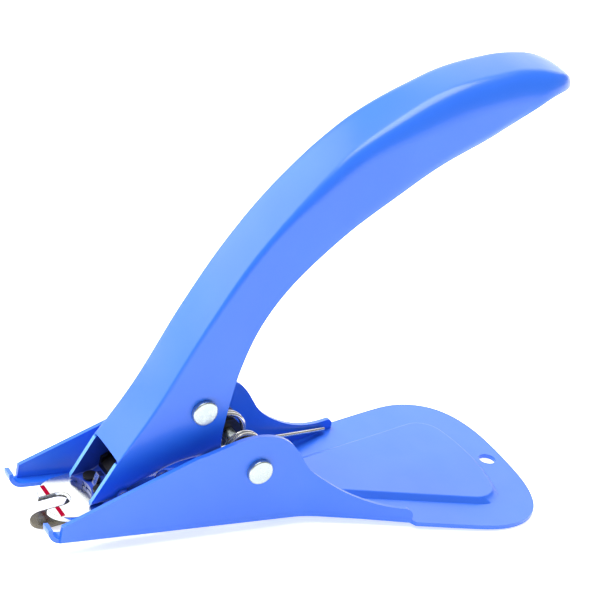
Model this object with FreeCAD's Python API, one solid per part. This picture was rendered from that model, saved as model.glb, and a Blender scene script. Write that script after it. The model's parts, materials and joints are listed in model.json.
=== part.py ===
import FreeCAD, Part
import math
import os

# Staple remover in pressed steel.  Millimetres, +Z up, x runs from the jaw to the pad, y across.
# Everything is drawn with x = 0 at the front corners of the base arms and z = 0 on the sole,
# then moved so that the origin is on the sole, under the middle of the pad's round end.

# driving dimensions
ORIGIN_X = 105.0            # from the arms' front corners to the origin
SHEET = 1.2                 # thickness of the painted sheet
GAP = 0.1                   # clearance between neighbouring pieces
RUNNING = 0.05              # radial clearance of what turns on the pin
WIDE = 60.0                 # half-width of the blocks that outlines are cut from

ARM_HALF = 15.5             # outer faces of the base arms
ARM_FLANGE = 4.0            # width of the arms' inward bottom flanges
BEND_R = 0.5                # outside radius of the arms' bottom bends
ARM_FRONT_HIGH = 5.0
ARM_SLOPE = 0.466           # rise of the arms' top edge per mm
PAD_HALF = 31.5
PAD_END = 140.0
FLOOR_FRONT = 60.0
PANEL_RISE = 1.4            # height of the pad's raised panel
PANEL_SLOPE = 1.6           # how far its sides slope in
PANEL_ROUND = 0.9           # radius of its top edges
HANG_HOLE = (135.0, 2.4)    # x and radius

PIVOT = (53.3, 15.9)        # x and z of the pivot pin
RIVET = (38.3, 30.5)        # x and z of the handle rivet
PIN_R = 1.7
HEAD_R = 3.45
HEAD_THICK = 1.3

HANDLE_ROUND = 2.6          # radius of the handle's two long top edges
NOSE_ROUND = 1.5            # radius of the nose's bottom bends
NOSE_SCOOP_R = 9.0          # radius of the hollow in the nose floor's front edge
NOSE_SCOOP_X = 13.8         # how far back that hollow reaches

JAW_RISE = 0.194            # slope of the upper jaw's top face
JAW_Z0 = 2.05               # height of that face at x = 0
FORK_THICK = 1.4
FORK_HALF = 9.4
FORK_TIP = 1.3
SLOT_HALF = 2.9
SLOT_END = 8.6
JAW_GAP = 3.4               # between the fork and the tongue
TONGUE_THICK = 0.9
TONGUE_HALF = 3.4
TONGUE_TIP = -1.2
JAW_BACK = 25.0
TAB_HALF = 1.1              # half-width of the fork's tab that comes up through the nose floor

EAR_IN = 8.2                # inner faces of the fork plate's ears
EAR_OUT = FORK_HALF
EAR_R = 5.0
BUSH_R = 2.6

FRAME_HALF = 6.0            # outer faces of the steel frame inside the handle
FRAME_SHEET = 1.1
FRAME_FRONT = 18.5
SPACER_R = 3.0              # spacer tube on the handle rivet

WIRE = 1.2
COIL_R = 5.0                # to the middle of the spring's wire
COIL_IN = 3.85              # y of each coil's first turn
COIL_PITCH = 1.14
COIL_TURNS = 3
BRIDGE_R = SPACER_R + WIRE / 2 + 0.15   # from the handle rivet's axis to the wire's bridge
SPRING_FOOT = (93.6, 20.9, 2.5)

JAW_RIVETS = [(15.5, 3.3), (15.5, -3.3)]
JAW_RIVET_R = 1.25
JAW_HEAD_R = 1.9


def vec(x, y, z):
    return FreeCAD.Vector(x, y, z)


def smooth(points, plane_y=None):
    """Smooth edge through points: (x, z) pairs in a plane of constant y, or (x, y) pairs at z = 0."""
    curve = Part.BSplineCurve()
    if plane_y is None:
        curve.interpolate([vec(x, y, 0) for x, y in points])
    else:
        curve.interpolate([vec(x, plane_y, z) for x, z in points])
    return curve.toShape()


def straight(a, b, plane_y=None):
    """Straight edge between two pairs, read as smooth() reads them."""
    if plane_y is None:
        return Part.makeLine(vec(*a, 0), vec(*b, 0))
    return Part.makeLine(vec(a[0], plane_y, a[1]), vec(b[0], plane_y, b[1]))


def joined(runs, plane_y=None):
    """Smooth edges through each run of points, with straight lines over the gaps between runs."""
    edges = [smooth(run, plane_y) for run in runs]
    for run, following in zip(runs, runs[1:] + runs[:1]):
        if math.dist(run[-1], following[0]) > 0.001:
            edges.append(straight(run[-1], following[0], plane_y))
    return edges


def face_of(edges):
    return Part.Face(Part.Wire(Part.__sortEdges__(edges)))


def side_plate(points, y_low, y_high):
    """Flat plate with straight sides: a polygon of (x, z) pairs, from y_low to y_high."""
    corners = [vec(x, y_low, z) for x, z in points]
    return Part.Face(Part.makePolygon(corners + corners[:1])).extrude(vec(0, y_high - y_low, 0))


def rod(centre, radius, y_low, y_high):
    return Part.makeCylinder(radius, y_high - y_low, vec(centre[0], y_low, centre[1]), vec(0, 1, 0))


def tube(centre, r_out, r_in, y_low, y_high):
    return rod(centre, r_out, y_low, y_high).cut(rod(centre, r_in, y_low, y_high))


def mirrored(shape):
    return shape.mirror(vec(0, 0, 0), vec(0, 1, 0))


def both_sides(shape):
    return [shape, mirrored(shape)]


def jaw_top(x):
    return JAW_Z0 + JAW_RISE * x


def jaw_layer(outline_face, top_drop, thick):
    """Flat layer of the jaw: a plan outline cut from a sloping slab, top_drop below the jaw's top face."""
    block = outline_face.extrude(vec(0, 0, 40))
    block.translate(vec(0, 0, -20))
    far = 60.0
    near = -10.0
    slab = [(near, jaw_top(near) - top_drop), (far, jaw_top(far) - top_drop)]
    slab += [(x, z - thick) for x, z in reversed(slab)]
    return block.common(side_plate(slab, -40, 40))


def edges_near(shape, test):
    """Edges of a shape whose middle point passes a test."""
    middles = [(edge, edge.valueAt((edge.FirstParameter + edge.LastParameter) / 2)) for edge in shape.Edges]
    return [edge for edge, middle in middles if test(middle)]


def export(node, shapes):
    solid = shapes[0] if len(shapes) == 1 else Part.makeCompound(shapes)
    solid = solid.copy()
    solid.translate(vec(-ORIGIN_X, 0, 0))
    solid.exportStep("parts/" + node + ".step")
    print(node, "solids", len(solid.Solids), "valid", solid.isValid(), "volume", round(solid.Volume, 1))


# ---- base ----

def arm_plan(half):
    """Plan edges of one arm wall at a half-width: straight beside the jaw, then flaring to the pad."""
    shift = half - ARM_HALF
    flare = Part.BSplineCurve()
    points = [(66, 15.5), (76.4, 17.5), (83.4, 19.6), (90.3, 21.9), (97.4, 24.3)]
    flare.interpolate([vec(x, y + shift, 0) for x, y in points],
                      InitialTangent=vec(1, 0, 0), FinalTangent=vec(0.95, 0.32, 0))
    return [straight((0, half), (66, half)), flare.toShape()]


def arm_block(half):
    """Everything inside the arm walls' plan, as tall as the walls."""
    start = (0, half)
    end = (97.4, 24.3 + half - ARM_HALF)
    edges = arm_plan(half) + [straight(end, (97.4, 0)), straight((97.4, 0), (0, 0)), straight((0, 0), start)]
    return face_of(edges).extrude(vec(0, 0, 30))


def arm_side():
    """Side outline of the arms: sloping top edge, a round ear over the pivot, a sweep down to the pad."""
    shoulder = (35.0, ARM_FRONT_HIGH + ARM_SLOPE * 35.0)
    ear = [shoulder, (42.6, 23.9), (47.5, 25.5), (52.6, 26.1), (57.5, 25.3), (61.4, 23.2), (64.8, 19.4),
           (68.2, 14.9), (72.7, 11.5), (78.2, 8.4), (85.4, 5.7), (95.4, 4.4)]
    corner = Part.Arc(vec(95.4, -WIDE, 4.4), vec(96.8, -WIDE, 3.7), vec(97.4, -WIDE, 2.4)).toShape()
    edges = [straight((0, 0), (0, ARM_FRONT_HIGH), -WIDE), straight((0, ARM_FRONT_HIGH), shoulder, -WIDE),
             smooth(ear, -WIDE), corner, straight((97.4, 2.4), (97.4, 0), -WIDE),
             straight((97.4, 0), (0, 0), -WIDE)]
    return face_of(edges).extrude(vec(0, 2 * WIDE, 0))


def pad_outline():
    """Half plan of the floor: behind the pin between the arms, then the round pad."""
    edge = smooth([(98.1, 25.6), (105, 27.6), (112.9, 29.8), (123.2, PAD_HALF), (132.8, 27.8),
                   (138, 19), (139.7, 9.3), (PAD_END, 0)])
    return arm_plan(ARM_HALF)[1:] + [edge, straight((97.4, 24.3), (98.1, 25.6)),
                                     straight((PAD_END, 0), (FLOOR_FRONT, 0)),
                                     straight((FLOOR_FRONT, 0), (FLOOR_FRONT, ARM_HALF)),
                                     straight((FLOOR_FRONT, ARM_HALF), (66, ARM_HALF))]


def panel_wire(inset, z):
    """Fan-shaped outline of the pad's raised panel, drawn in by an inset, at a height."""
    corners = [(73.0 + inset, 7.6 - inset), (120.8 - inset / 2, 20.9 - inset), (129.0 - inset, 15.9 - inset / 2)]
    rear = Part.Arc(vec(*corners[2], z), vec(131.0 - inset, 0, z), vec(corners[2][0], -corners[2][1], z))
    corner = Part.Arc(vec(*corners[1], z), vec(126.8 - inset, 19.6 - inset, z), vec(*corners[2], z))
    half = [Part.makeLine(vec(*corners[0], z), vec(*corners[1], z)), corner.toShape()]
    front = Part.makeLine(vec(corners[0][0], -corners[0][1], z), vec(*corners[0], z))
    return Part.Wire(Part.__sortEdges__(half + [mirrored(e) for e in half] + [rear.toShape(), front]))


def panel(inset, drop):
    """Raised panel as a solid with sloping sides, from drop below the sheet's top face."""
    low = SHEET - drop
    block = Part.makeLoft([panel_wire(inset, low), panel_wire(inset + PANEL_SLOPE, low + PANEL_RISE)], True, True)
    return block.makeFillet(PANEL_ROUND, edges_near(block, lambda p: p.z > low + PANEL_RISE - 0.01))


def front_curl():
    """Front end of one bottom flange, rolled up out of the paper's way."""
    radius = 4.2
    outer = Part.makeCylinder(radius, 3.6, vec(0.6, ARM_HALF - ARM_FLANGE, radius), vec(0, 1, 0))
    inner = Part.makeCylinder(radius - SHEET, 3.6, vec(0.6, ARM_HALF - ARM_FLANGE, radius), vec(0, 1, 0))
    quarter = Part.makeBox(radius + 1, 4, radius, vec(0.6 - radius - 1, ARM_HALF - ARM_FLANGE, 0))
    return outer.cut(inner).common(quarter)


def base_frame():
    walls = arm_block(ARM_HALF).cut(arm_block(ARM_HALF - SHEET)).common(arm_side())
    inner = ARM_HALF - ARM_FLANGE
    flange = Part.makeBox(FLOOR_FRONT + 1 - 0.6, ARM_FLANGE, SHEET, vec(0.6, inner, 0))
    floor = face_of(pad_outline()).extrude(vec(0, 0, SHEET))
    half = walls.fuse([flange, floor, front_curl()]).removeSplitter()
    bends = edges_near(half, lambda p: abs(p.z) < 0.01 and 1 < p.x < 96 and p.y > ARM_HALF - 0.1)
    half = half.makeFillet(BEND_R, bends)
    whole = half.fuse(mirrored(half)).removeSplitter()
    whole = whole.fuse(panel(0, 0)).cut(panel(SHEET * 0.7, SHEET))
    whole = whole.cut(rod(PIVOT, PIN_R + 0.02, -20, 20))
    return whole.cut(Part.makeCylinder(HANG_HOLE[1], 10, vec(HANG_HOLE[0], 0, -5)))


# ---- pin and spring ----

def rivet(centre, face_y):
    """Rivet across the tool: a shaft with a flat, rim-bevelled head on each outer face."""
    shaft = rod(centre, PIN_R, -face_y - 0.1, face_y + 0.1)
    head = rod(centre, HEAD_R, face_y + 0.02, face_y + HEAD_THICK)
    rim = edges_near(head, lambda p: p.y > face_y + HEAD_THICK - 0.01)
    head = head.makeFillet(0.45, rim)
    return shaft.fuse(both_sides(head)).removeSplitter()


def leg_side(end, r_end):
    """Direction from the pivot to where a leg leaves the coil, below it, to pass above end by r_end."""
    length = math.dist(PIVOT, end)
    along = ((end[0] - PIVOT[0]) / length, (end[1] - PIVOT[1]) / length)
    down = (along[1], -along[0]) if along[0] > 0 else (-along[1], along[0])
    sine = (COIL_R + r_end) / length
    cosine = math.sqrt(1 - sine * sine)
    return down[0] * cosine + along[0] * sine, down[1] * cosine + along[1] * sine


def on_circle(centre, radius, side, y):
    return vec(centre[0] + radius * side[0], y, centre[1] + radius * side[1])


def wire_run(a, b):
    """Straight run of wire from a to b, a touch thinner than the coil so that it starts inside it."""
    return Part.makeCylinder(WIRE / 2 - 0.07, b.sub(a).Length, a, b.sub(a))


def spring_half():
    """One side of the spring: a leg up to the handle rivet's spacer, the coil, a leg down to the floor.
    The turns are drawn as rings that just run into each other."""
    front = leg_side(RIVET, BRIDGE_R)
    rear = leg_side((SPRING_FOOT[0], SPRING_FOOT[2]), 0)
    rings = [COIL_IN + COIL_PITCH * turn for turn in range(COIL_TURNS)]
    coil = [Part.makeTorus(COIL_R, WIRE / 2, vec(PIVOT[0], y, PIVOT[1]), vec(0, 1, 0)) for y in rings]
    corner = on_circle(RIVET, -BRIDGE_R, front, COIL_IN)
    bridge = wire_run(corner, vec(corner.x, -COIL_IN, corner.z))
    front_leg = wire_run(corner, on_circle(PIVOT, COIL_R, front, rings[0]))
    rear_leg = wire_run(on_circle(PIVOT, COIL_R, rear, rings[-1]), vec(*SPRING_FOOT))
    return coil[0].fuse(coil[1:] + [front_leg, rear_leg, bridge, Part.makeSphere(WIRE / 2, corner)])


def torsion_spring():
    half = spring_half()
    return half.fuse(mirrored(half)).removeSplitter()


# ---- handle ----

FRONT_LINE = [(16.7, 17.5), (24.9, 32.5), (34, 53), (44.3, 72.8), (56.5, 90), (70.8, 104.7),
              (91.5, 117.2), (108.4, 121.9), (118.5, 122.5), (125.5, 121.2), (129.4, 118.9), (131.2, 116.2)]
BACK_LINE = [(130.2, 115.2), (126.5, 116.3), (122.3, 116.4), (117.5, 113.9), (106, 105.9), (92.1, 98.1),
             (80.3, 89.3), (68.8, 79.5), (57.7, 67.7), (50.4, 55.3), (46.5, 41.6), (44.9, 26.0), (45.2, 17.6)]
LOWER_LINE = [(45.2, 17.6), (42.0, 17.0), (33.6, 15.2), (25.1, 11.2), (21.2, 8.8), (18.8, 6.7), (17.2, 5.8),
              (15, 5.25), (11.2, 4.45)]
PLAN_LINE = [(5, 7.2), (20, 7.5), (45, 8.0), (65, 8.8), (85, 9.7), (105, 10.0), (116, 9.8), (123.5, 8.2),
             (129, 4.8), (131.2, 0)]


def moved(points, distance):
    """Points moved sideways, to the right of their direction of travel."""
    result = []
    for i, (x, z) in enumerate(points):
        before = points[max(i - 1, 0)]
        after = points[min(i + 1, len(points) - 1)]
        along = (after[0] - before[0], after[1] - before[1])
        length = math.hypot(*along)
        result.append((x + along[1] / length * distance, z - along[0] / length * distance))
    return result


def handle_side(inset, reach):
    """Side outline of the handle, drawn in by an inset at the top and bottom, and let out by a reach
    at the open nose and back."""
    front = moved(FRONT_LINE, inset)
    lower = moved(LOWER_LINE, inset)
    back = moved(BACK_LINE, -reach)
    nose = []
    if reach:
        back = [(front[-1][0], front[-1][1] - reach)] + back[2:]
        low = (lower[-1][0] - reach, lower[-1][1])
        high = (front[0][0] - 0.88 * reach, front[0][1] + 0.48 * reach)
        nose = [[low, high]]
    return face_of(joined([front, back, lower] + nose, -WIDE)).extrude(vec(0, 2 * WIDE, 0))


def handle_plan(inset):
    """Plan outline of the handle, from the narrow nose to the wide grip and its round end."""
    side = moved(PLAN_LINE, inset)
    side[-1] = (PLAN_LINE[-1][0] - inset, 0)
    half = smooth(side)
    start = side[0]
    return face_of([half, mirrored(half), straight(start, (start[0], -start[1]))]).extrude(vec(0, 0, 150))


def jaw_rivet_line(place, radius, low, high):
    """Round bar square to the jaw's slope at one rivet, between two heights from the jaw's top face."""
    slope = math.atan(JAW_RISE)
    along = vec(-math.sin(slope), 0, math.cos(slope))
    foot = vec(place[0], place[1], jaw_top(place[0])).add(along * low)
    return Part.makeCylinder(radius, high - low, foot, along)


def riveted(shape):
    """A shape with the jaw rivets' holes."""
    return shape.cut([jaw_rivet_line(place, JAW_RIVET_R + 0.05, -20, 8) for place in JAW_RIVETS])


def handle_shell():
    outer = handle_side(0, 0).common(handle_plan(0))
    outer = outer.makeFillet(HANDLE_ROUND, [edge for edge in outer.Edges if edge.Length > 150])
    bends = edges_near(outer, lambda p: 20 < p.x < 40 and abs(p.y) > 5 and p.z < 16)
    outer = outer.makeFillet(NOSE_ROUND, bends)
    shell = outer.cut(handle_side(SHEET, 3).common(handle_plan(SHEET)))
    scoop = Part.makeCylinder(NOSE_SCOOP_R, 6.5, vec(NOSE_SCOOP_X - NOSE_SCOOP_R, 0, 0))
    return riveted(shell.cut([rod(RIVET, PIN_R + 0.02, -20, 20), scoop, guide_tab(GAP)]))


def inner_frame():
    """Steel channel inside the handle: a web on the handle's floor, and two cheeks up to the handle rivet."""
    cheek = [(FRAME_FRONT, 11.0), (26.5, 27.0), (31.5, 37.0), (37.0, 39.0), (41.5, 36.5), (43.0, 30.0)]
    outline = joined([cheek, [(43.0, 0), (FRAME_FRONT, 0)]], -FRAME_HALF)
    block = face_of(outline).extrude(vec(0, 2 * FRAME_HALF, 0))
    inside = FRAME_HALF - FRAME_SHEET
    room = handle_side(SHEET + GAP + FRAME_SHEET, 3).common(Part.makeBox(80, 2 * inside, 80, vec(0, -inside, 0)))
    frame = block.common(handle_side(SHEET + GAP, 3)).cut(room)
    return frame.cut(rod(RIVET, PIN_R + 0.02, -20, 20))


# ---- jaws ----

def spade(tip_run, half, back):
    """Plan outline, symmetric about the middle: straight sides from the back, then a curved tip."""
    other = [(x, -y) for x, y in reversed(tip_run)]
    return face_of(joined([tip_run, other, [(back, -half), (back, half)]]))


def guide_tab(grow):
    """Small tab bent up from the fork, through the nose floor."""
    return side_plate([(14.0 - grow, 3.5), (15.5 + grow, 3.5), (16.9 + grow, 9.7 + grow), (15.4 - grow, 9.7 + grow)],
                      -TAB_HALF - grow, TAB_HALF + grow)


def fork_plate():
    """Upper jaw: a slotted spade whose sides turn up into ears that reach the pivot."""
    tip = [(9.0, FORK_HALF), (6.3, 9.0), (3.8, 7.7), (1.9, 5.3), (FORK_TIP, SLOT_HALF)]
    blade = jaw_layer(spade(tip, FORK_HALF, 33.0), 0, FORK_THICK)
    slot_centre = SLOT_END - SLOT_HALF
    slot = Part.makeBox(20, 2 * SLOT_HALF, 20, vec(slot_centre - 20, -SLOT_HALF, -10))
    blade = blade.cut([slot, Part.makeCylinder(SLOT_HALF, 20, vec(slot_centre, 0, -10))])
    edge = [(12.5, jaw_top(12.5) - 0.3), (14.0, 6.3), (44.0, 19.6), (PIVOT[0], PIVOT[1] + EAR_R),
            (PIVOT[0], PIVOT[1] - EAR_R), (49.0, 11.3), (33.0, jaw_top(33.0) - FORK_THICK),
            (12.5, jaw_top(12.5) - FORK_THICK)]
    ear = side_plate(edge, EAR_IN, EAR_OUT).fuse([
        rod(PIVOT, EAR_R, EAR_IN, EAR_OUT),
        rod((19.4, 7.4), 2.2, EAR_IN, EAR_OUT),
        rod((29.6, 12.2), 2.2, EAR_IN, EAR_OUT),
        Part.makeBox(5, EAR_OUT - EAR_IN, 7, vec(28, EAR_IN, SHEET + 0.15)),
        Part.makeBox(5, 3.2 + EAR_OUT - EAR_IN, SHEET, vec(28, EAR_IN, SHEET + 0.15))])
    ear = ear.cut(rod(PIVOT, BUSH_R + 0.02, 0, 20))
    tab = guide_tab(0).cut(side_plate([(0, jaw_top(0) - 1), (40, jaw_top(40) - 1), (40, 0), (0, 0)], -5, 5))
    return riveted(blade.fuse(both_sides(ear) + [tab]).removeSplitter())


def lifting_tongue():
    """Lower jaw: a narrow rounded tongue that slides under a staple."""
    tip = [(3.2, TONGUE_HALF), (1.0, 3.1), (-0.6, 1.95), (TONGUE_TIP, 0)]
    wide = 6.5
    whole = [(JAW_BACK, wide), (11.5, wide), (9.0, TONGUE_HALF)]
    other = [(x, -y) for x, y in reversed(tip)]
    outline = face_of(joined([whole[:2], whole[2:] + tip[:1], tip, other, [(9.0, -TONGUE_HALF), (11.5, -wide)],
                              [(JAW_BACK, -wide), (JAW_BACK, 0)]]))
    return riveted(jaw_layer(outline, FORK_THICK + JAW_GAP, TONGUE_THICK))


def jaw_spacer():
    tip = [(13.0, 6.5), (11.3, 5.6), (10.5, 3.5)]
    return riveted(jaw_layer(spade(tip, 6.5, JAW_BACK), FORK_THICK, JAW_GAP))


def jaw_rivets():
    """Two short rivets that clamp the nose floor, the fork, the spacer and the tongue."""
    low = -(FORK_THICK + JAW_GAP + TONGUE_THICK)
    high = SHEET + 0.65
    return [jaw_rivet_line(place, JAW_RIVET_R, low, high).fuse(
            jaw_rivet_line(place, JAW_HEAD_R, high, high + 0.5)) for place in JAW_RIVETS]


def main():
    os.makedirs("parts", exist_ok=True)
    export("base_frame", [base_frame()])
    export("pivot_pin", [rivet(PIVOT, ARM_HALF)])
    export("pivot_spacers", both_sides(tube(PIVOT, 3.0, PIN_R + RUNNING, EAR_OUT + GAP, ARM_HALF - SHEET - GAP)))
    export("spring_sleeves", both_sides(tube(PIVOT, 3.9, PIN_R + RUNNING, 3.4, EAR_IN - GAP)))
    export("torsion_spring", [torsion_spring()])
    export("handle_shell", [handle_shell()])
    export("inner_frame", [inner_frame()])
    export("handle_rivet", [rivet(RIVET, 7.97)])
    export("rivet_spacer", [tube(RIVET, SPACER_R, PIN_R + 0.02, GAP - FRAME_HALF + FRAME_SHEET,
                                 FRAME_HALF - FRAME_SHEET - GAP)])
    export("fork_plate", [fork_plate()])
    export("pivot_bushes", both_sides(tube(PIVOT, BUSH_R, PIN_R + RUNNING, EAR_IN, EAR_OUT)))
    export("jaw_spacer", [jaw_spacer()])
    export("lifting_tongue", [lifting_tongue()])
    export("jaw_rivets", jaw_rivets())


if __name__ == "__main__":
    main()
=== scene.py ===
import json
import math

import bmesh
import bpy
from mathutils import Matrix, Vector


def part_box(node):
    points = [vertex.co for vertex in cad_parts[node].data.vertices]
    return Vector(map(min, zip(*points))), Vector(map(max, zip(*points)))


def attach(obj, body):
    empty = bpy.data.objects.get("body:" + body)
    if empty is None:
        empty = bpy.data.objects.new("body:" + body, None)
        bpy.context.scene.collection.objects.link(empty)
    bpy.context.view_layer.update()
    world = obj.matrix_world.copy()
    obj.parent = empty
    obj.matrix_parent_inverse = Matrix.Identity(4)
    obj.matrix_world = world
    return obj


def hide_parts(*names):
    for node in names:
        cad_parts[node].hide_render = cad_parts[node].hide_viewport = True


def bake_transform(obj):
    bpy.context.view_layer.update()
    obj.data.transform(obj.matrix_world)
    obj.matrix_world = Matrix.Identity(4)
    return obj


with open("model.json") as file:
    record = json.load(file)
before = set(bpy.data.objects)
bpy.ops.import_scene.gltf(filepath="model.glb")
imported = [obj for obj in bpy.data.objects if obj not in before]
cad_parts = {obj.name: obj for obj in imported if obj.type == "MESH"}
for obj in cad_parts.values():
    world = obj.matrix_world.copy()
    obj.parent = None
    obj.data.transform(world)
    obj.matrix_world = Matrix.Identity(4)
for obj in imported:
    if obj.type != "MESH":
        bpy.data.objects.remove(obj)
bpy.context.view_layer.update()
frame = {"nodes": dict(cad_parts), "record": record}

# Staple remover.  Lengths are millimetres unless a comment says metres, with x = 0 at the arms' front
# corners; place() turns a point into the frame's metres.  Outlines in the side view are (x, z) pairs.
MM = 0.001
ORIGIN_X = 105.0            # from the arms' front corners to the frame's origin
SHEET = 1.2                 # thickness of the painted sheet
PIVOT = (53.3, 15.9)        # the handle's pin
RIVET = (38.3, 30.5)        # the handle's rivet

# camera: angles in degrees, distance in metres
AZIMUTH = -31.996
ELEVATION = 26.687
ROLL = 11.454
DISTANCE = 0.73492
TARGET = (63.0, 0, 58.24)
LENS = 175.34
SENSOR = 36.0

# paint: two close blues each for the outside, a lighter painted highlight on cut edges and a darker painted
# shade on the inside
BLUE = (0.022, 0.178, 0.92)
DEEP_BLUE = (0.018, 0.158, 0.88)
HIGHLIGHT_BLUE = (0.16, 0.48, 1.0)
DEEP_HIGHLIGHT_BLUE = (0.10, 0.38, 0.98)
SHADE_BLUE = (0.008, 0.045, 0.42)
DEEP_SHADE_BLUE = (0.006, 0.035, 0.34)

# red stripes across the fork's prongs
MARK_X = 3.9
MARK_HALF = 0.58            # half-width along x
MARK_IN = 2.95              # from here to MARK_OUT on each side of the middle
MARK_OUT = 7.3


def place(x, y, z):
    return Vector(((x - ORIGIN_X) * MM, y * MM, z * MM))


def add_object(name, data):
    item = bpy.data.objects.new(name, data)
    bpy.context.collection.objects.link(item)
    return item


# ---- camera and studio ----

def add_camera():
    azimuth = math.radians(AZIMUTH)
    elevation = math.radians(ELEVATION)
    roll = math.radians(ROLL)
    back = Vector((math.sin(azimuth) * math.cos(elevation), -math.cos(azimuth) * math.cos(elevation),
                   math.sin(elevation)))
    right = Vector((math.cos(azimuth), math.sin(azimuth), 0))
    up = back.cross(right)
    across = right * math.cos(roll) + up * math.sin(roll)
    upright = up * math.cos(roll) - right * math.sin(roll)
    camera = add_object("camera", bpy.data.cameras.new("camera"))
    camera.data.lens = LENS
    camera.data.sensor_width = SENSOR
    camera.matrix_world = Matrix((across, upright, back)).transposed().to_4x4()
    camera.matrix_world.translation = place(*TARGET) + back * DISTANCE
    bpy.context.scene.camera = camera


def facing(direction):
    """Rotation of a light that shines along a direction."""
    return direction.to_track_quat("-Z", "Y").to_euler()


def add_area(name, position, aim, size, energy):
    """Rectangular light, in metres and watts."""
    light = add_object(name, bpy.data.lights.new(name, "AREA"))
    light.data.shape = "RECTANGLE"
    light.data.size, light.data.size_y = size
    light.data.energy = energy
    light.location = position
    light.rotation_euler = facing(Vector(aim) - Vector(position))


def add_sun(strength, towards, angle):
    """Broad overhead light, soft enough for a faint shadow."""
    light = add_object("overhead", bpy.data.lights.new("overhead", "SUN"))
    light.data.energy = strength
    light.data.angle = math.radians(angle)
    light.rotation_euler = facing(-Vector(towards))


def add_studio():
    world = bpy.data.worlds.new("studio")
    bpy.context.scene.world = world
    world.use_nodes = True
    background = world.node_tree.nodes["Background"]
    background.inputs["Color"].default_value = (1, 1, 1, 1)
    background.inputs["Strength"].default_value = 0.4
    middle = (-0.03, 0, 0.05)        # of the tool, in metres
    add_sun(3.2, (-0.25, 0.22, 0.94), 50)
    add_area("left_panel", (-0.7, 0.8, 0.45), middle, (0.9, 0.7), 4.5)
    add_area("back_panel", (0.55, 0.85, 0.55), middle, (1.2, 1.0), 5)
    bpy.context.scene.view_settings.view_transform = "Standard"


def add_floor():
    """Pale floor under the tongue's tip and the pad's rear edge, the two places the tool stands on."""
    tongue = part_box("lifting_tongue")[0]
    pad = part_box("base_frame")
    pad_foot = pad[1].x - 0.001      # the pad touches just before its rounded end
    rise = (pad[0].z - tongue.z) / (pad_foot - tongue.x)
    bpy.ops.mesh.primitive_plane_add(size=6)
    floor = bpy.context.object
    floor.name = "studio_floor"
    floor.rotation_euler = (0, -math.atan(rise), 0)
    floor.location = (0, 0, tongue.z - rise * tongue.x)
    floor.data.materials.append(floor_material())


# ---- material nodes ----

def new_material(name):
    material = bpy.data.materials.new(name)
    material.use_nodes = True
    tree = material.node_tree
    return material, tree.nodes, tree.links, tree.nodes["Principled BSDF"]


def noise(nodes, links, scale, detail=3.0, stretch=(1, 1, 1)):
    """Noise texture in the piece's own coordinates."""
    where = nodes.new("ShaderNodeTexCoord")
    mapping = nodes.new("ShaderNodeMapping")
    mapping.inputs["Scale"].default_value = stretch
    texture = nodes.new("ShaderNodeTexNoise")
    texture.inputs["Scale"].default_value = scale
    texture.inputs["Detail"].default_value = detail
    links.new(where.outputs["Object"], mapping.inputs["Vector"])
    links.new(mapping.outputs["Vector"], texture.inputs["Vector"])
    return texture.outputs["Fac"]


def spread(nodes, links, value, low, high):
    """A noise value mapped from its middle range to low..high."""
    mapped = nodes.new("ShaderNodeMapRange")
    mapped.inputs["From Min"].default_value = 0.3
    mapped.inputs["From Max"].default_value = 0.7
    mapped.inputs["To Min"].default_value = low
    mapped.inputs["To Max"].default_value = high
    links.new(value, mapped.inputs["Value"])
    return mapped.outputs["Result"]


def mixed(nodes, links, factor, first, second):
    """Mix of two colours, each a red, green and blue tuple or another node's output."""
    mix = nodes.new("ShaderNodeMix")
    mix.data_type = "RGBA"
    for socket, colour in ((mix.inputs["A"], first), (mix.inputs["B"], second)):
        if isinstance(colour, tuple):
            socket.default_value = (*colour, 1)
        else:
            links.new(colour, socket)
    links.new(factor, mix.inputs["Factor"])
    return mix.outputs["Result"]


def calculate(nodes, links, operation, first, second=None):
    """Math node over numbers or other nodes' outputs."""
    node = nodes.new("ShaderNodeMath")
    node.operation = operation
    for socket, value in zip(node.inputs, (first, second)):
        if isinstance(value, float):
            socket.default_value = value
        elif value is not None:
            links.new(value, socket)
    return node.outputs[0]


def bump(nodes, links, value, depth, strength):
    node = nodes.new("ShaderNodeBump")
    node.inputs["Distance"].default_value = depth
    node.inputs["Strength"].default_value = strength
    links.new(value, node.inputs["Height"])
    return node.outputs["Normal"]


def inside_box(nodes, links, low, high):
    """1 where the piece's own x, and its y taken as positive, lie inside a box, and 0 outside."""
    where = nodes.new("ShaderNodeTexCoord")
    split = nodes.new("ShaderNodeSeparateXYZ")
    links.new(where.outputs["Object"], split.inputs["Vector"])
    along = split.outputs["X"]
    across = calculate(nodes, links, "ABSOLUTE", split.outputs["Y"])
    inside = calculate(nodes, links, "GREATER_THAN", along, low[0])
    for value, operation, limit in ((along, "LESS_THAN", high[0]), (across, "GREATER_THAN", low[1]),
                                    (across, "LESS_THAN", high[1])):
        test = calculate(nodes, links, operation, value, limit)
        inside = calculate(nodes, links, "MULTIPLY", inside, test)
    return inside


# ---- materials ----

def floor_material():
    material, nodes, links, shader = new_material("pale_floor")
    tone = spread(nodes, links, noise(nodes, links, 6.0), 0.0, 1.0)
    links.new(mixed(nodes, links, tone, (0.93, 0.93, 0.93), (0.95, 0.95, 0.95)), shader.inputs["Base Color"])
    shader.inputs["Roughness"].default_value = 0.9
    shader.inputs["Emission Color"].default_value = (1, 1, 1, 1)
    shader.inputs["Emission Strength"].default_value = 0.6
    return material


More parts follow.
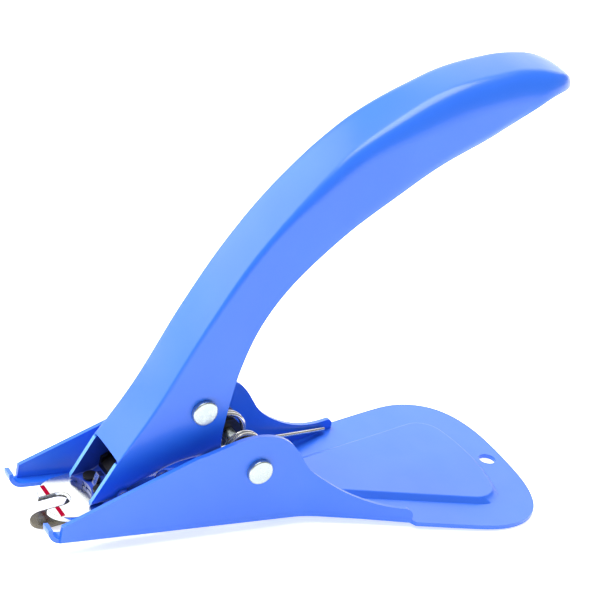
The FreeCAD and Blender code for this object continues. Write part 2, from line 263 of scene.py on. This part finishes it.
def enamel(name, light, deep):
    """Sprayed enamel: two close blues and a faint orange-peel surface under a clear gloss."""
    material, nodes, links, shader = new_material(name)
    drift = spread(nodes, links, noise(nodes, links, 35.0, 2.0), 0.0, 1.0)
    links.new(mixed(nodes, links, drift, light, deep), shader.inputs["Base Color"])
    peel = noise(nodes, links, 900.0, 2.0)
    links.new(bump(nodes, links, peel, 0.00002, 0.35), shader.inputs["Normal"])
    links.new(spread(nodes, links, noise(nodes, links, 120.0), 0.34, 0.42), shader.inputs["Roughness"])
    shader.inputs["Coat Weight"].default_value = 0.45
    shader.inputs["Coat Roughness"].default_value = 0.2
    return material


def steel(name, light, dark, rough, grain=(1, 1, 1)):
    """Metal with fine drawn or rolled grain and slight staining."""
    material, nodes, links, shader = new_material(name)
    stain = spread(nodes, links, noise(nodes, links, 160.0, 4.0), 0.0, 1.0)
    links.new(mixed(nodes, links, stain, light, dark), shader.inputs["Base Color"])
    lines = noise(nodes, links, 900.0, 2.0, grain)
    links.new(spread(nodes, links, lines, rough * 0.75, rough * 1.25), shader.inputs["Roughness"])
    links.new(bump(nodes, links, lines, 0.000008, 0.5), shader.inputs["Normal"])
    shader.inputs["Metallic"].default_value = 1.0
    return material


def dark_sleeve_material():
    material, nodes, links, shader = new_material("dark_sleeve")
    tone = spread(nodes, links, noise(nodes, links, 400.0), 0.0, 1.0)
    links.new(mixed(nodes, links, tone, (0.012, 0.012, 0.014), (0.03, 0.03, 0.033)),
              shader.inputs["Base Color"])
    shader.inputs["Roughness"].default_value = 0.35
    return material


def marked_steel():
    """The fork's bright steel with a red painted stripe across each prong."""
    material = steel("jaw_steel", (0.76, 0.79, 0.78), (0.66, 0.69, 0.68), 0.16, (25, 1, 1))
    nodes = material.node_tree.nodes
    links = material.node_tree.links
    shader = nodes["Principled BSDF"]
    stripe = inside_box(nodes, links, (place(MARK_X - MARK_HALF, 0, 0).x, MARK_IN * MM),
                        (place(MARK_X + MARK_HALF, 0, 0).x, MARK_OUT * MM))
    drift = spread(nodes, links, noise(nodes, links, 700.0), 0.0, 1.0)
    red = mixed(nodes, links, drift, (0.30, 0.002, 0.022), (0.38, 0.004, 0.03))
    bare = shader.inputs["Base Color"].links[0].from_socket
    links.new(mixed(nodes, links, stripe, bare, red), shader.inputs["Base Color"])
    metal = calculate(nodes, links, "SUBTRACT", 1.0, stripe)
    links.new(metal, shader.inputs["Metallic"])
    links.new(metal, shader.inputs["Specular IOR Level"])
    return material


def make_materials():
    """Materials by node, and two more for the painted sheet: a lighter blue as painted highlight on its cut
    edges and a darker blue as painted shade on its inside.
    """
    blue = enamel("blue_enamel", BLUE, DEEP_BLUE)
    rivet = steel("plated_rivet", (0.54, 0.60, 0.58), (0.48, 0.54, 0.53), 0.3)
    plated = steel("plated_steel", (0.78, 0.78, 0.80), (0.66, 0.66, 0.68), 0.3, (1, 30, 1))
    wire = steel("spring_wire", (0.70, 0.69, 0.66), (0.52, 0.51, 0.48), 0.16)
    # near-black steel is painted shade on the jaw rivets, inner frame and jaw spacer in the shadowed nose
    shade_black = steel("painted_shade_steel", (0.05, 0.05, 0.055), (0.03, 0.03, 0.034), 0.4, (1, 25, 1))
    # the tongue's dark olive steel is painted shade
    tongue = steel("tongue_steel", (0.18, 0.165, 0.13), (0.11, 0.10, 0.08), 0.25, (25, 1, 1))
    brass = steel("bush_brass", (0.80, 0.62, 0.30), (0.68, 0.50, 0.22), 0.3)
    # the lighter cut-edge blue is a painted highlight on the sheet's edges
    return {"rim": enamel("painted_highlight_enamel", HIGHLIGHT_BLUE, DEEP_HIGHLIGHT_BLUE),
            # the darker inside blue is painted shade on the handle's inner faces
            "inside": enamel("painted_shade_enamel", SHADE_BLUE, DEEP_SHADE_BLUE),
            "base_frame": blue, "handle_shell": blue, "pivot_pin": rivet, "handle_rivet": rivet,
            "jaw_rivets": shade_black, "pivot_spacers": plated, "rivet_spacer": plated, "inner_frame": shade_black,
            "jaw_spacer": shade_black, "fork_plate": marked_steel(), "lifting_tongue": tongue,
            "pivot_bushes": brass, "spring_sleeves": dark_sleeve_material(), "torsion_spring": wire}


def paint_nodes(looks):
    for node, node_object in frame["nodes"].items():
        for slot in node_object.material_slots:
            slot.material = looks[node]


# ---- curves ----

SPAN_STEPS = 12             # points to each span of a smooth line


def smooth_path(points):
    """Points along a smooth curve through given points (Catmull-Rom)."""
    spots = [Vector(point) for point in points]
    track = [2 * spots[0] - spots[1]] + spots + [2 * spots[-1] - spots[-2]]
    path = []
    for before, a, b, after in zip(track, track[1:], track[2:], track[3:]):
        for step in range(SPAN_STEPS):
            t = step / SPAN_STEPS
            path.append(0.5 * (2 * a + (b - before) * t + (2 * before - 5 * a + 4 * b - after) * t ** 2
                               + (3 * a - before - 3 * b + after) * t ** 3))
    return path + [spots[-1]]


def evenly(path, count):
    """Points spaced evenly by length along a polyline."""
    lengths = [0.0]
    for a, b in zip(path, path[1:]):
        lengths.append(lengths[-1] + (b - a).length)
    result = []
    at = 0
    for i in range(count):
        want = lengths[-1] * i / (count - 1)
        while at < len(path) - 2 and lengths[at + 1] < want:
            at += 1
        share = (want - lengths[at]) / (lengths[at + 1] - lengths[at])
        result.append(path[at].lerp(path[at + 1], share))
    return result


def between(pairs, at):
    """Smoothly interpolated value from (place, value) pairs."""
    for (x0, v0), (x1, v1) in zip(pairs, pairs[1:]):
        if at <= x1:
            t = min(max((at - x0) / (x1 - x0), 0), 1)
            return v0 + (v1 - v0) * t * t * (3 - 2 * t)
    return pairs[-1][1]


def height_on(line, x):
    """Height of a line of (x, z) points at x."""
    for a, b in zip(line, line[1:]):
        if a.x <= x <= b.x:
            return a.y + (b.y - a.y) * (x - a.x) / (b.x - a.x)
    return line[-1].y


# ---- mesh helpers ----

def mesh_data(name, mesh, materials):
    """Smooth-shaded mesh data from a bmesh, which is freed."""
    data = bpy.data.meshes.new(name)
    mesh.to_mesh(data)
    mesh.free()
    for material in materials:
        data.materials.append(material)
    data.shade_smooth()
    return data


def evaluated_mesh(item):
    """New mesh data of an object as its modifiers or curve settings leave it."""
    bpy.context.view_layer.update()
    return bpy.data.meshes.new_from_object(item.evaluated_get(bpy.context.evaluated_depsgraph_get()))


def apply_modifiers(piece):
    data = evaluated_mesh(piece)
    piece.modifiers.clear()
    piece.data = data


def round_edges(piece, width, sharpest, material):
    """Rounds edges sharper than an angle; the rounded strips get a material index."""
    edge = piece.modifiers.new("edges", "BEVEL")
    edge.width = width * MM
    edge.segments = 3
    edge.limit_method = "ANGLE"
    edge.angle_limit = math.radians(sharpest)
    edge.harden_normals = True
    edge.material = material


def add_strip(mesh, rows):
    """Quads over rows of points in millimetres."""
    grid = [[mesh.verts.new(place(*point)) for point in row] for row in rows]
    for row, following in zip(grid, grid[1:]):
        for i in range(len(row) - 1):
            mesh.faces.new([row[i], row[i + 1], following[i + 1], following[i]])


def with_mirror(half_row):
    """A row of points from one side to the middle, continued as its mirror image."""
    return half_row + [(x, -y, z) for x, y, z in reversed(half_row[:-1])]


# ---- handle ----

HEEL = (45.2, 17.6)         # where the nose floor ends and the open back begins
FRONT_LINE = [(16.7, 17.5), (24.9, 32.5), (34, 53), (44.3, 72.8), (56.5, 90), (70.8, 104.7), (91.5, 117.2),
              (108.4, 121.9), (118.5, 122.5), (125.5, 121.2), (129.2, 119.4), (130.9, 117.8)]
BACK_LINE = [HEEL, (44.9, 26.0), (46.5, 41.6), (50.4, 55.3), (57.7, 67.7), (68.8, 79.5), (80.3, 89.3),
             (92.1, 98.1), (106, 105.9), (117.5, 113.7), (122.3, 116.2), (126.5, 116.9), (129.9, 116.9)]
LOWER_LINE = [(11.2, 4.45), (15, 5.25), (17.2, 5.8), (18.8, 6.7), (21.2, 8.8), (25.1, 11.2), (33.6, 15.2),
              (42.0, 17.0), HEEL]
HALF_WIDTHS = [(5, 7.2), (20, 7.5), (45, 8.0), (65, 8.8), (85, 9.7), (105, 10.0), (116, 9.8)]    # by x
END_X = 130.9
BLUNT = 0.985               # the round end stops at this share of its run, before it closes to nothing

ROWS = 200                  # cross rows, numbered from the nose; a share is a row over ROWS
HEEL_SHARE = 0.17           # share of the row that runs through the heel
SIDE_STEPS = 14
CORNER_STEPS = 12
TOP_STEPS = 8
BEND_STEPS = 6

CORNER_ROUNDS = [(0, 0.9), (0.2, 1.3), (0.4, 2.2), (0.6, 5.0), (0.75, 7.8), (0.9, 7.8), (1, 4.5)]
CORNER_SQUASH = 0.65        # those radii run down the sides; across the top they are this much less
CROWN_NOSE = 0.2            # how far the top's sides lie below its middle, at share 0
CROWN_GAIN = 0.3            # what that gains by share 1
EDGE_ROLLS = [(0.45, 0), (0.7, 0.5), (0.85, 0.9), (0.93, 0.2), (1, 0)]    # back edge's turn in, by share
ROLL_DEPTH = 3.0            # how far up the side that turn starts

NOSE_BEND = 1.5             # radius of the nose's bottom bends
HEEL_BEND = 0.15            # share of it that is left at the heel
BEND_FADE = 6               # rows over which it fades
SCOOP_R = 9.0               # hollow front edge of the nose floor: radius, and the x it reaches
SCOOP_X = 13.8
FLOOR_EDGE_TOP = 7.0        # the nose floor's cut edge takes the painted shade below this height and within this half-width
FLOOR_EDGE_HALF = 6.3

CUT_ROUND = 0.3             # radius of the sheet's cut edges
RIM = 1                     # material indices of the sheet's cut edges (painted highlight) and inside (painted shade)
INSIDE = 2


def handle_half_width(x):
    """Half-width of the handle at x: widening to the grip, then a round end."""
    straight_end, widest = HALF_WIDTHS[-1]
    if x <= straight_end:
        return between(HALF_WIDTHS, x)
    run = min((x - straight_end) / (END_X - straight_end), BLUNT)
    return widest * (1 - run ** 2) ** 0.5


def handle_lines():
    """The handle's front, floor and back lines as points, one for each cross row."""
    heel_row = round(HEEL_SHARE * ROWS)
    front = evenly(smooth_path(FRONT_LINE), ROWS + 1)
    lower = evenly(smooth_path(LOWER_LINE), heel_row + 1)
    back = evenly(smooth_path(BACK_LINE), ROWS + 1 - heel_row)
    return front, lower, back


def section_outline(depth, half, share):
    """Back edge, side, rounded corner and half the top of one cross row: (down from the top, in from
    the side) pairs."""
    radius = min(between(CORNER_ROUNDS, share), depth * 0.8, half * 0.9)
    across = radius * CORNER_SQUASH
    straight = depth - radius
    roll = min(between(EDGE_ROLLS, share), half * 0.12)
    roll_depth = min(ROLL_DEPTH, straight)
    outline = []
    for i in range(SIDE_STEPS):
        rise = straight * i / SIDE_STEPS
        outline.append((depth - rise, roll * max(1 - rise / roll_depth, 0) ** 2))
    for i in range(CORNER_STEPS + 1):
        angle = math.radians(90 * i / CORNER_STEPS)
        outline.append((radius * (1 - math.sin(angle)), across * (1 - math.cos(angle))))
    for i in range(1, TOP_STEPS + 1):
        outline.append((0.0, across + (half - across) * i / TOP_STEPS))
    return outline


def section(front, back, share):
    """Points across one row of the handle, from one back edge over the crowned top to the other."""
    depth = (back - front).length
    inward = (back - front) / depth
    half = handle_half_width(front.x)
    crown = CROWN_NOSE + CROWN_GAIN * share
    side = []
    for down, inset in section_outline(depth, half, share):
        share_out = 1 - inset / half
        spot = front + inward * (down + crown * share_out ** 2 * (1 - down / depth))
        side.append((spot.x, -handle_half_width(spot.x) * share_out, spot.y))
    return with_mirror(side)


def floor_row(spot, half, bend, line):
    """The nose floor at one row: a bend inwards from each side, and the flat between, cut back by the
    hollow front edge."""
    flat = half - bend
    outline = []
    for i in range(BEND_STEPS + 1):
        angle = math.radians(90 * i / BEND_STEPS)
        outline.append((flat + bend * math.cos(angle), bend - bend * math.sin(angle)))
    for i in range(1, TOP_STEPS + 1):
        outline.append((flat * (1 - i / TOP_STEPS), 0.0))
    row = []
    for y, lift in outline:
        edge = SCOOP_X - SCOOP_R + math.sqrt(SCOOP_R ** 2 - min(y, SCOOP_R) ** 2)
        x, z = spot
        on_flat = lift < 0.01
        if on_flat and x < edge:
            x = edge
            z = height_on(line, edge)
        row.append((x, -y, z + lift))
    return with_mirror(row)


def handle_rows():
    """Rows of points for the handle's sides and top, and for the nose floor."""
    front, lower, back = handle_lines()
    heel_row = len(lower) - 1
    sides = []
    floor = []
    for i, spot in enumerate(lower):
        bend = NOSE_BEND * min(1.0, HEEL_BEND + (heel_row - i) / BEND_FADE)
        sides.append(section(front[i], spot + Vector((0, bend)), i / ROWS))
        floor.append(floor_row(spot, handle_half_width(spot.x), bend, lower))
    for i, spot in enumerate(back[1:], heel_row + 1):
        sides.append(section(front[i], spot, i / ROWS))
    return sides, floor


def thicken(piece):
    """Gives a painted sheet its thickness inwards, with rounded cut edges in the lighter blue of painted
    highlight and the inside in the darker blue of painted shade.
    """
    solid = piece.modifiers.new("sheet", "SOLIDIFY")
    solid.thickness = SHEET * MM
    solid.offset = -1
    solid.material_offset = INSIDE
    solid.material_offset_rim = RIM
    round_edges(piece, CUT_ROUND, 50, RIM)
    apply_modifiers(piece)


def darken_floor_edge(shell):
    """The nose floor's cut edge, in the handle's shade, takes the darker blue of painted shade."""
    for face in shell.data.polygons:
        in_nose = face.center.z < FLOOR_EDGE_TOP * MM and abs(face.center.y) < FLOOR_EDGE_HALF * MM
        if in_nose and face.material_index == RIM:
            face.material_index = INSIDE


def handle_shell(paint, rim, inside):
    """The painted handle: an arched channel with a round end, boxed in at the nose."""
    sides, floor = handle_rows()
    mesh = bmesh.new()
    add_strip(mesh, sides)
    add_strip(mesh, floor)
    bmesh.ops.remove_doubles(mesh, verts=mesh.verts, dist=0.02 * MM)
    bmesh.ops.recalc_face_normals(mesh, faces=mesh.faces)
    shell = add_object("painted_handle", mesh_data("painted_handle", mesh, [paint, rim, inside]))
    thicken(shell)
    darken_floor_edge(shell)
    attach(shell, "handle")
    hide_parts("handle_shell")


# ---- spring ----

WIRE_R = 0.6
COIL_R = 5.0                # to the middle of the wire
COIL_IN = 3.85              # y of the first turn
COIL_PITCH = 1.14
COIL_TURNS = 3              # less the angle between the two legs
BRIDGE_R = 3.75             # from the handle rivet's axis to the wire's bridge
LEG_END = (93.6, 20.9, 2.5)
LEG_BOW = 0.6               # the rear leg's bow towards the middle
FRONT_LEG_STEPS = 10
COIL_STEPS = 110
REAR_LEG_STEPS = 14


def around(centre, radius, angle, y):
    return Vector((centre[0] + radius * math.cos(angle), y, centre[1] + radius * math.sin(angle)))


def leg_angle(end, r_end):
    """Angle round the pivot at which a leg leaves the coil, below it, to pass above end by r_end."""
    reach = Vector(end) - Vector(PIVOT)
    turn = math.acos((COIL_R + r_end) / reach.length)
    return math.atan2(reach.y, reach.x) + (turn if reach.x < 0 else -turn)


def spring_half():
    """The wire's middle line on one side: bridge corner, front leg, coil, rear leg to the floor."""
    first = leg_angle(RIVET, BRIDGE_R)
    last = leg_angle((LEG_END[0], LEG_END[2]), 0) + 2 * math.pi * COIL_TURNS
    coil = []
    for i in range(COIL_STEPS + 1):
        angle = first + (last - first) * i / COIL_STEPS
        coil.append(around(PIVOT, COIL_R, angle, COIL_IN + COIL_PITCH * (angle - first) / (2 * math.pi)))
    corner = around(RIVET, -BRIDGE_R, first, COIL_IN)
    front_leg = [corner.lerp(coil[0], i / FRONT_LEG_STEPS) for i in range(FRONT_LEG_STEPS)]
    rear_leg = []
    for i in range(1, REAR_LEG_STEPS + 1):
        t = i / REAR_LEG_STEPS
        spot = coil[-1].lerp(Vector(LEG_END), t)
        spot.y -= LEG_BOW * 4 * t * (1 - t)
        rear_leg.append(spot)
    return front_leg + coil + rear_leg


def wire_mesh(line):
    """Round wire along a line of points, with closed ends."""
    curve = bpy.data.curves.new("spring_line", "CURVE")
    curve.dimensions = "3D"
    spline = curve.splines.new("POLY")
    spline.points.add(len(line) - 1)
    for point, spot in zip(spline.points, line):
        point.co = (*place(*spot), 1)
    curve.bevel_depth = WIRE_R * MM
    curve.bevel_resolution = 4
    curve.use_fill_caps = True
    drawn = add_object("spring_line", curve)
    data = evaluated_mesh(drawn)
    bpy.data.objects.remove(drawn)
    return data


def torsion_spring(material):
    """The double torsion spring: one wire from foot to foot, across the handle rivet's spacer."""
    half = spring_half()
    data = wire_mesh(list(reversed(half)) + [Vector((spot.x, -spot.y, spot.z)) for spot in half])
    data.materials.clear()
    data.materials.append(material)
    data.shade_smooth()
    spring = add_object("spring_wire", data)
    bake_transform(spring)
    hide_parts("torsion_spring")


# ---- pressed pieces with rounded edges ----

def body_of(node):
    bodies = frame["record"]["behaviour"]["bodies"]
    return [body for body, nodes in bodies.items() if node in nodes][0]


def softened(node, name, materials, width):
    """A node's shape as a new piece whose sharp edges are rounded to a width, in the last material."""
    source = frame["nodes"][node]
    mesh = bmesh.new()
    mesh.from_mesh(source.data)
    mesh.transform(source.matrix_world)
    bmesh.ops.remove_doubles(mesh, verts=mesh.verts, dist=0.002 * MM)
    bmesh.ops.dissolve_limit(mesh, angle_limit=math.radians(0.4), verts=mesh.verts, edges=mesh.edges)
    piece = add_object(name, mesh_data(name, mesh, materials))
    round_edges(piece, width, 35, len(materials) - 1)
    piece.modifiers.new("even_faces", "WEIGHTED_NORMAL").weight = 100
    apply_modifiers(piece)
    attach(piece, body_of(node))
    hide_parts(node)


add_camera()
add_studio()
add_floor()
looks = make_materials()
paint_nodes(looks)
handle_shell(looks["handle_shell"], looks["rim"], looks["inside"])
torsion_spring(looks["torsion_spring"])
# the base's rounded edges take the lighter blue as a painted highlight
softened("base_frame", "painted_base", [looks["base_frame"], looks["rim"]], 0.25)
# the fork's rounded edges take the dark tongue steel as painted shade along its outline
softened("fork_plate", "fork", [looks["fork_plate"], looks["lifting_tongue"]], 0.2)
softened("lifting_tongue", "tongue", [looks["lifting_tongue"]], 0.15)
